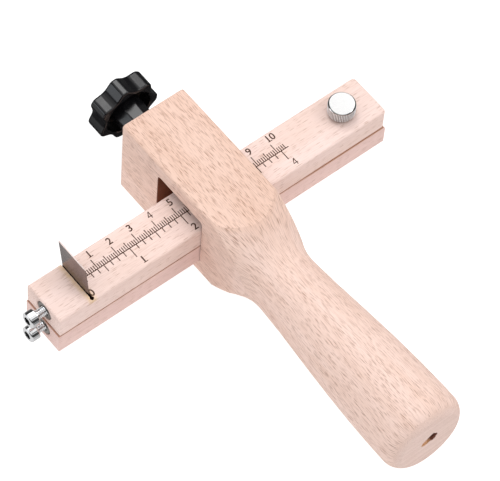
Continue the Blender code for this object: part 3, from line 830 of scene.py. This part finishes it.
def engrave(arm, burnt):
    """Cut the scale, its numerals and the feet of the numerals 1 into an arm."""
    ring = comb()
    cut(arm, loft([[(x, y, z) for x, y in ring] for z in (ENGRAVED, ENGRAVER_TOP)]), mat=burnt)
    numbers = [(str(k), SCALE_ZERO + 10 * k + 1.0, 7.5) for k in range(1, 10)]
    numbers.append(("10", SCALE_ZERO + 102.4, 7.7))
    numbers += [(str(k), SCALE_ZERO + INCH * k + 1.35, -7.1) for k in range(0, 5)]
    for text, x, y in numbers:
        cut(arm, four(x, y) if text == "4" else numeral(text, x, y), mat=burnt)
        if text in ("1", "10"):
            foot = x + 0.25 - (1.45 if text == "10" else 0.0)
            cut(arm, box((foot - 0.95, y - 1.66, ENGRAVED), (foot + 0.95, y - 1.30, ENGRAVER_TOP)), mat=burnt)


def make_arms(upper_mat, lower_mat, burnt):
    """Both arms, with the blade's slot and the screws' holes; the upper one carries the scale."""
    lower = piece("wood_lower_arm", bar(LOWER_START, LOWER_END, LOWER_BOTTOM, LOWER_TOP,
                                        PARTING_EDGE, LOWER_ARM_NOSE), [lower_mat])
    open_slot(lower, SLOT_FLOOR, LOWER_TOP + OVERCUT, burnt)
    open_screw_hole(lower, LOWER_START, SCREW_Z["lower"])
    shank = THUMB_SHANK + GAP
    seat = ARM_INSERT + GAP
    floor = LOWER_TOP - THUMB_INSERT_SEAT
    profile = [(shank, THUMB_BORE_END), (shank, floor), (seat, floor), (seat, LOWER_TOP + OVERCUT)]
    cut(lower, turned("Z", (THUMB_X, 0, 0), profile, 48))
    even_normals(lower)
    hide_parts("lower_arm")
    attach(lower, "lower_beam")

    upper = piece("wood_upper_arm", bar(ARM_START, ARM_END, UPPER_BOTTOM, ARM_TOP, ARM_EDGE, 0), [upper_mat])
    open_slot(upper, UPPER_BOTTOM - OVERCUT, ARM_TOP + OVERCUT, burnt)
    open_screw_hole(upper, ARM_START, SCREW_Z["upper"])
    profile = [(shank, UPPER_BOTTOM - OVERCUT), (shank, ARM_TOP - CHAMFER), (shank + CHAMFER, ARM_TOP),
               (shank + CHAMFER, ARM_TOP + OVERCUT)]
    cut(upper, turned("Z", (THUMB_X, 0, 0), profile, 48))
    engrave(upper, burnt)
    even_normals(upper)
    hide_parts("upper_arm")
    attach(upper, "upper_beam")


# ---------------------------------------- screws, inserts and knob

def make_blade_screw(side, mat, dark):
    """A cap screw: knurled round head with a hexagon socket, and a threaded shank."""
    node = side + "_blade_screw"
    end = corner(node, 0, "X")
    tip = corner(node, 1, "X")
    centre = (0, 0, SCREW_Z[side])
    under = end + SCREW_HEAD_LENGTH
    rim = SCREW_HEAD_RADIUS
    sides = 4 * SCREW_TEETH
    head = [(radius, along, 0.0) for radius, along in
            [(0.4, end + 0.02), (rim - 0.75, end)] + arc((rim - 0.7, end + 0.7), 0.7, -90, -10, 6)]
    head += [(rim, end + 0.8, 1.0), (rim, under - 0.5, 1.0)]
    head += [(radius, along, 0.0) for radius, along in arc((rim - 0.35, under - 0.3), 0.3, 10, 90, 4)]
    head += [(SCREW_RADIUS + 0.25, under, 0.0), (SCREW_RADIUS - 0.02, under + 0.25, 0.0)]
    rings = toothed_rings("X", centre, head, sides, SCREW_TEETH, SCREW_TOOTH_DEPTH)
    rings += thread_rings("X", centre, SCREW_RADIUS, under + 0.5, tip - 0.7, BLADE_PITCH, sides)
    rings.append([around("X", centre, SCREW_RADIUS - 0.6, tip, a) for a in full_turn(sides)])
    screw = piece(node + "_chrome", loft(rings), [mat], METAL_ANGLE)
    flat = SOCKET_WIDTH / 2 / math.cos(math.pi / 6)
    socket = [(flat + 0.3, end - 0.5), (flat + 0.3, end), (flat, end + 0.25), (flat, end + SOCKET_DEPTH)]
    # Painted shade: the hexagon socket's faces take a near black metal.
    cut(screw, turned("X", centre, socket, 6), mat=dark)
    even_normals(screw, METAL_ANGLE)
    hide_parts(node)
    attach(screw, node)


def make_insert(node, axis, centre, outer, bore, start, end, pitch, body, mat):
    """A threaded insert from its flanged rim at start to its end, with a visible inner thread."""
    way = 1 if end > start else -1
    steps = int(abs(end - start) / pitch * 2)
    inner = []
    for k in range(1, steps):
        along = end - way * abs(end - start) * k / steps
        inner.append((bore + (0.22 * pitch if k % 2 else 0.0), along))
    profile = [(bore + 0.35, start), (outer - 0.25, start), (outer, start + way * 0.25),
               (outer, start + way * 0.9), (outer - 0.3, start + way * 1.2), (outer - 0.3, end - way * 0.3),
               (outer - 0.6, end), (bore + 0.2, end)] + inner
    item = piece(node + "_zinc", turned(axis, centre, profile, 48, hollow=True), [mat])
    even_normals(item)
    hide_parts(node)
    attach(item, body)


def make_thumb_screw(mat, ridge, painted_groove_shade):
    """The thumb screw: a threaded shank, a stepped underside and a head with fine teeth."""
    base = corner("thumb_screw", 0, "Z")
    seat = ARM_TOP + GAP
    top = corner("thumb_screw", 1, "Z")
    sides = 4 * THUMB_TEETH
    centre = (THUMB_X, 0, 0)
    rings = [[around("Z", centre, THUMB_SHANK - 0.6, base, a) for a in full_turn(sides)]]
    rings += thread_rings("Z", centre, THUMB_SHANK, base + 0.6, seat - 1.2, THUMB_PITCH, sides)
    edge = THUMB_RADIUS
    head = [(THUMB_SHANK - 0.1, seat - 0.4, 0), (THUMB_SHANK + 0.4, seat, 0), (edge - 1.2, seat, 0),
            (edge - 0.8, seat + 0.15, 0), (edge - 0.55, seat + 0.7, 0), (edge - 0.3, seat + 1.0, 0),
            (edge, seat + 1.25, 1), (edge, seat + 3.4, 1), (edge, top - 0.85, 1),
            (edge - 0.12, top - 0.75, 0), (edge - 0.12, top - 0.5, 0), (edge - 0.45, top - 0.12, 0),
            (edge - 0.65, top, 0), (edge - 1.6, top - 0.03, 0), (0.5, top - 0.05, 0)]
    rings += toothed_rings("Z", centre, head, sides, THUMB_TEETH, THUMB_TOOTH_DEPTH)
    shape = loft(rings)
    teeth_start, teeth_end = seat + 1.1, top - 0.8
    # Painted shade: faces in the grooves between the teeth and on the step under the head take a darker
    # nickel.
    plain, on_ridge, painted_shade_faces = range(3)
    for face in shape.faces:
        middle = face.calc_center_median()
        if teeth_start < middle.z < teeth_end:
            reach = math.hypot(middle.x - THUMB_X, middle.y)
            face.material_index = painted_shade_faces if reach < edge - 0.5 * THUMB_TOOTH_DEPTH else on_ridge
        elif seat - 0.1 < middle.z < teeth_start:
            face.material_index = painted_shade_faces
        else:
            face.material_index = plain
    screw = piece("thumb_screw_nickel", shape, [mat, ridge, painted_groove_shade], METAL_ANGLE)
    even_normals(screw, METAL_ANGLE)
    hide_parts("thumb_screw")
    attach(screw, "thumb_screw")


def star_corners(inset):
    """The star's straight-sided outline as (x, z) corners about its axis."""
    tip = KNOB_TIP - inset
    valley = KNOB_VALLEY - inset
    pitch = 2 * math.pi / KNOB_LOBES
    corners = []
    for lobe in range(KNOB_LOBES):
        middle = KNOB_TURN + pitch * lobe
        for radius, angle in ((tip, middle - KNOB_TIP_ANGLE), (tip, middle + KNOB_TIP_ANGLE),
                              (valley, middle + pitch / 2 - KNOB_VALLEY_ANGLE),
                              (valley, middle + pitch / 2 + KNOB_VALLEY_ANGLE)):
            corners.append(Vector((radius * math.cos(angle), radius * math.sin(angle))))
    return corners


def star(y, inset):
    """The star's outline with its corners rounded."""
    points = 9
    corners = star_corners(inset)
    ring = []
    for i, middle in enumerate(corners):
        before = middle + KNOB_CORNER * (corners[i - 1] - middle).normalized()
        after = middle + KNOB_CORNER * (corners[(i + 1) % len(corners)] - middle).normalized()
        for k in range(points):
            t = k / (points - 1)
            point = (1 - t) ** 2 * before + 2 * t * (1 - t) * middle + t ** 2 * after
            ring.append((point.x, y, AXIS_Z + point.y))
    return ring


def rounded_star(y, way):
    """Rings that round the star's edge at a face: way 1 rounds towards +Y."""
    steps = 7
    rings = []
    for k in range(steps + 1):
        angle = 0.5 * math.pi * k / steps
        rings.append(star(y + way * (KNOB_EDGE * math.sin(angle) - KNOB_EDGE),
                          KNOB_EDGE * (1 - math.cos(angle))))
    return rings


def make_knob(mat):
    """The star knob with its hollow, its faceted hub and the bore for the stud."""
    outer = corner("star_knob", 1, "Y")
    hub_start = corner("star_knob", 0, "Y")
    rings = list(reversed(rounded_star(KNOB_INNER, -1)))
    rings += rounded_star(outer, 1)
    rings.append(star(outer - 0.02, 4.5))
    knob = piece("star_knob_moulding", loft(rings), [mat])

    floor = outer - KNOB_WEB
    centre = (0, 0, AXIS_Z)
    wall = KNOB_POCKET
    profile = [(wall + 0.4, KNOB_INNER - OVERCUT), (wall + 0.4, KNOB_INNER), (wall, KNOB_INNER + 0.4),
               (wall - 0.4, floor - 0.7), (wall - 0.6, floor - 0.2), (wall - 1.1, floor)]
    cut(knob, turned("Y", centre, profile, 72))

    profile = [(6.0, hub_start), (6.6, hub_start + 0.6), (7.6, floor), (7.6, floor + 1)]
    hub = turned("Y", centre, profile, HUB_SIDES)
    bmesh.ops.rotate(hub, verts=hub.verts, cent=centre, matrix=Matrix.Rotation(HUB_TURN, 3, "Y"))
    round_edges(hub, lambda a, b: abs(a.y - b.y) > 2, 0.45, 4)
    cut(knob, hub, "UNION")
    bore = STUD_RADIUS + GAP
    cut(knob, turned("Y", centre, [(bore, hub_start - OVERCUT), (bore, outer - 3.6)], 48))
    even_normals(knob)
    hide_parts("star_knob")
    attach(knob, "clamp_screw")


def make_stud(mat):
    """The threaded stud between the knob and the clamp plate."""
    start = corner("clamp_stud", 0, "Y")
    end = corner("clamp_stud", 1, "Y")
    centre = (0, 0, AXIS_Z)
    sides = 40
    rings = [[around("Y", centre, STUD_RADIUS - 0.9, start, a) for a in full_turn(sides)]]
    rings += thread_rings("Y", centre, STUD_RADIUS, start + 0.8, end - 0.7, CLAMP_PITCH, sides)
    rings.append([around("Y", centre, STUD_RADIUS - 0.7, end, a) for a in full_turn(sides)])
    stud = piece("clamp_stud_thread", loft(rings), [mat])
    even_normals(stud)
    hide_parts("clamp_stud")
    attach(stud, "clamp_screw")


def dress(node, mat, edge):
    """Give a kept CAD node its material and softly broken edges."""
    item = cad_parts[node]
    item.data.materials.clear()
    item.data.materials.append(mat)
    step = item.modifiers.new("edge", "BEVEL")
    step.width = edge * MM
    step.segments = 2
    step.limit_method = "ANGLE"
    step.angle_limit = math.radians(30)
    step.harden_normals = True


# ---------------------------------------- camera, floor and light

def make_camera():
    """A long lens that looks down over the handle and the blade end."""
    data = bpy.data.cameras.new("camera")
    data.lens = 237.6
    data.sensor_width = 36.0
    data.clip_end = 20.0
    camera = link(bpy.data.objects.new("camera", data))
    camera.matrix_world = Matrix(((0.7799, 0.5090, -0.3643, -0.4739),
                                  (-0.6238, 0.6808, -0.3841, -0.5222),
                                  (0.0525, 0.5268, 0.8484, 1.1278),
                                  (0.0, 0.0, 0.0, 1.0)))
    bpy.context.scene.camera = camera


def make_floor():
    """A pale disc under the object; bright metal mirrors it dark, but for a card at the blade's end."""
    bm = bmesh.new()
    bmesh.ops.create_circle(bm, cap_ends=True, segments=96, radius=1100)
    for vert in bm.verts:
        vert.co.z = -0.4
    look = Look("floor", 0.9)
    tint = look.noise((300, 300, 300), 2.0)
    look.shader.inputs["Emission Color"].default_value = (1.0, 1.0, 1.0, 1.0)
    mirrored = look.node("ShaderNodeLightPath").outputs["Is Glossy Ray"]
    card = look.span(look.axis("X"), -100.0 * MM, -50.0 * MM, 0.74, 0.03)
    glow = look.math("ADD", look.times(mirrored, card),
                     look.times(look.math("SUBTRACT", 1.0, mirrored), 0.86))
    look.feed(look.shader.inputs["Emission Strength"], glow)
    plain = look.mix(tint, (0.30, 0.30, 0.30), (0.34, 0.34, 0.34))
    look.color(look.mix(mirrored, plain, (0.02, 0.02, 0.02)))
    floor = piece("floor", bm, [look.mat])


def make_world():
    """A pale studio: bright overhead, darker at the horizon where bright metal mirrors it."""
    world = bpy.data.worlds.new("studio")
    bpy.context.scene.world = world
    world.use_nodes = True
    tree = world.node_tree
    new, connect = tree.nodes.new, tree.links.new
    split = new("ShaderNodeSeparateXYZ")
    connect(new("ShaderNodeTexCoord").outputs["Generated"], split.inputs[0])
    glossy = new("ShaderNodeMix")
    diffuse_input, glossy_input = 2, 3
    for place, numbers in ((diffuse_input, (0.12, 0.70, 0.10, 1.0)), (glossy_input, (0.50, 0.80, 0.05, 1.0))):
        ramp = new("ShaderNodeMapRange")
        ramp.interpolation_type = "SMOOTHSTEP"
        for socket, value in zip(ramp.inputs[1:5], numbers):
            socket.default_value = value
        connect(split.outputs["Z"], ramp.inputs[0])
        connect(ramp.outputs[0], glossy.inputs[place])
    rays = new("ShaderNodeLightPath")
    seen = new("ShaderNodeMix")
    connect(rays.outputs["Is Glossy Ray"], glossy.inputs[0])
    connect(rays.outputs["Is Camera Ray"], seen.inputs[0])
    connect(glossy.outputs[0], seen.inputs[2])
    seen.inputs[3].default_value = 0.97
    background = tree.nodes["Background"]
    connect(seen.outputs[0], background.inputs["Strength"])
    background.inputs["Color"].default_value = (1.0, 1.0, 1.0, 1.0)


def make_light(name, place, size, power, color=(1.0, 1.0, 1.0)):
    """A rectangular softbox aimed at the head."""
    data = bpy.data.lights.new(name, "AREA")
    data.shape = "RECTANGLE"
    data.size, data.size_y = size
    data.energy = power
    data.color = color
    lamp = link(bpy.data.objects.new(name, data))
    lamp.location = place
    aim = Vector((0.0, -0.02, 0.02)) - Vector(place)
    lamp.rotation_euler = aim.to_track_quat("-Z", "Y").to_euler()


# ---------------------------------------- the object

def main():
    make_camera()
    make_floor()
    make_world()
    make_light("key", (1.2, -0.9, 1.6), (0.9, 0.9), 8.0)
    make_light("top", (0.14, 0.52, 1.23), (0.62, 0.62), 4.5)
    make_light("side", (-1.15, 0.50, 0.30), (0.8, 0.5), 2.3, (0.90, 0.95, 1.0))

    burnt = burnt_line()
    upper_wood = arm_wood("upper_arm_beech", (0.895, 0.700, 0.645), (0.85, 0.645, 0.575),
                          (11.0, 4.0, 2.0), True)
    lower_wood = arm_wood("lower_arm_beech", (0.855, 0.62, 0.57), (0.81, 0.575, 0.525),
                          (5.0, 9.0, 6.0), False)
    chrome = plated("chrome_plate", (0.86, 0.86, 0.87), 0.05, 0.14)
    nickel = plated("nickel_plate", (0.97, 0.965, 0.96), 0.10, 0.16)
    ridge = brushed("nickel_knurl", (0.82, 0.86, 0.90), (0.92, 0.95, 0.98), (0.5, 0.5, 2.0), 0.30, 0.42)
    ridge.node_tree.nodes["Principled BSDF"].inputs["Metallic"].default_value = 0.35
    # Painted shade in the thumb screw's grooves and under its head.
    valley = brushed("nickel_painted_groove_shade", (0.28, 0.27, 0.26), (0.36, 0.35, 0.34), (0.5, 0.5, 2.0), 0.35, 0.5)
    zinc = brushed("zinc_plate", (0.20, 0.18, 0.165), (0.30, 0.28, 0.26), (0.6, 0.6, 0.6), 0.3, 0.5)
    steel = brushed("bright_steel_bar", (0.50, 0.50, 0.50), (0.62, 0.62, 0.61), (0.8, 0.8, 0.8), 0.2, 0.4)
    # Painted shade for the blade screws' sockets.
    painted_socket_shade = brushed("painted_shade_socket", (0.05, 0.05, 0.05), (0.09, 0.09, 0.09), (0.5, 0.5, 0.5), 0.4, 0.6)
    blade = brushed("blade_plate", (0.22, 0.185, 0.18), (0.26, 0.215, 0.205), (0.3, 9.0, 0.12), 0.16, 0.30)

    make_handle(handle_wood(), torn_wood())
    make_arms(upper_wood, lower_wood, burnt)
    for side in ("upper", "lower"):
        make_blade_screw(side, chrome, painted_socket_shade)
        start = corner(side + "_blade_insert", 0, "X")
        end = corner(side + "_blade_insert", 1, "X")
        make_insert(side + "_blade_insert", "X", (0, 0, SCREW_Z[side]), ARM_INSERT,
                    SCREW_RADIUS + INSERT_PLAY, start, end, BLADE_PITCH, side + "_beam", zinc)
    make_insert("thumb_screw_insert", "Z", (THUMB_X, 0, 0), ARM_INSERT, THUMB_SHANK + INSERT_PLAY,
                corner("thumb_screw_insert", 1, "Z"), corner("thumb_screw_insert", 0, "Z"),
                THUMB_PITCH, "lower_beam", zinc)
    make_insert("clamp_insert", "Y", (0, 0, AXIS_Z), CLAMP_INSERT, STUD_RADIUS + INSERT_PLAY,
                corner("clamp_insert", 1, "Y"), corner("clamp_insert", 0, "Y"),
                CLAMP_PITCH, "head", zinc)
    make_thumb_screw(nickel, ridge, valley)
    make_knob(moulded())
    make_stud(steel)
    dress("blade", blade, 0.03)
    dress("clamp_plate", steel, 0.4)
    bpy.context.scene.view_settings.view_transform = "Standard"


main()
